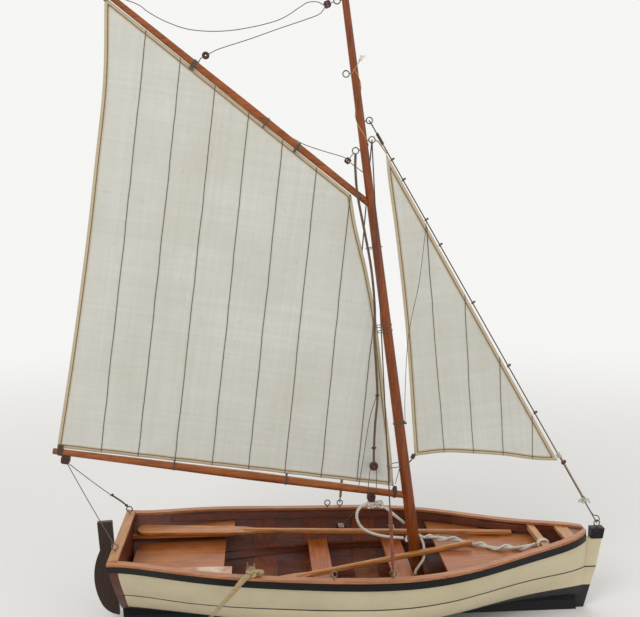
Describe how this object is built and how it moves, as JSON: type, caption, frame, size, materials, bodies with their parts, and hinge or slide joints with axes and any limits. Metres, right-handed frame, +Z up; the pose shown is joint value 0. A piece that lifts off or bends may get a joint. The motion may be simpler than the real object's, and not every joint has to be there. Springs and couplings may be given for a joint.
{
  "type": "gaff-rigged sailing dinghy display model",
  "caption": "Wooden display model of an open gaff-rigged sailing dinghy that stands upright on its keel, with mainsail, jib, oars and rudder.",
  "frame": {"origin": "on the keel's flat bottom, under the middle of the hull's length", "axes": "+X to the bow, +Y to port, +Z up"},
  "size_m": [0.5597, 0.1873, 0.6454],
  "materials": {
    "hull_paint": "cream painted wood",
    "black_paint": "black painted wood",
    "mahogany": "varnished dark red-brown wood",
    "pale_wood": "light varnished wood",
    "orange_wood": "varnished orange-brown wood",
    "spar_wood": "varnished red-brown wood",
    "dark_wood": "dark stained wood",
    "block_wood": "dark turned wood",
    "sailcloth": "off-white woven cloth",
    "rigging": "dark braided line",
    "white_cord": "white cotton cord",
    "hemp": "tan hemp rope",
    "wire": "dull steel wire",
    "brass": "dull brass"
  },
  "bodies": {
    "hull": {"bow_bar": "pale_wood", "breasthook": "pale_wood", "cleats": "block_wood", "fore_platform": "orange_wood", "forestay": "rigging", "gudgeons": "brass", "gunwale_cap_port": "pale_wood", "gunwale_cap_starboard": "pale_wood", "gunwale_eyes": "wire", "hemp_knot": "hemp", "hemp_rope": "hemp", "hull_planking": "hull_paint", "inwale_port": "mahogany", "inwale_starboard": "mahogany", "keel": "black_paint", "mast": "spar_wood", "mast_blocks": "block_wood", "mast_eyes": "wire", "mast_hitch": "white_cord", "mast_step": "mahogany", "mast_thwart": "orange_wood", "middle_thwart": "orange_wood", "oar_port": "orange_wood", "oar_starboard": "orange_wood", "painter": "white_cord", "painter_knot": "white_cord", "ribs": "mahogany", "rubbing_strake_port": "black_paint", "rubbing_strake_starboard": "black_paint", "shroud_port": "rigging", "shroud_starboard": "rigging", "side_bench_port": "orange_wood", "side_bench_starboard": "orange_wood", "stem": "black_paint", "stem_eye": "wire", "stem_head": "black_paint", "stern_platform": "orange_wood", "thwart_risers": "mahogany", "transom": "mahogany", "transom_cap": "pale_wood", "transom_eyes": "wire"},
    "mainsail_rig": {"boom": "spar_wood", "gaff": "spar_wood", "mainsail": "sailcloth", "boom_blocks": "block_wood", "boom_tangle": "white_cord", "boom_cord_long": "white_cord", "boom_cord_short": "white_cord"},
    "jib_sail": {"jib": "sailcloth"},
    "rudder_blade": {"rudder": "dark_wood", "pintles": "brass"}
  },
  "joints": [
    {"name": "boom_swing", "type": "hinge", "parent": "hull", "child": "mainsail_rig", "pos_m": [0.0543, 0, 0.048], "axis": [-0.1362, 0, 0.9907], "range_deg": [-20, 20]},
    {"name": "jib_swing", "type": "hinge", "parent": "hull", "child": "jib_sail", "pos_m": [0.243, 0, 0.09134], "axis": [-0.5094, 0, 0.8605], "range_deg": [-20, 20]},
    {"name": "rudder_turn", "type": "hinge", "parent": "hull", "child": "rudder_blade", "pos_m": [-0.2523, 0, 0.0912], "axis": [-0.0436, 0, 0.999], "range_deg": [-35, 35]}
  ]
}
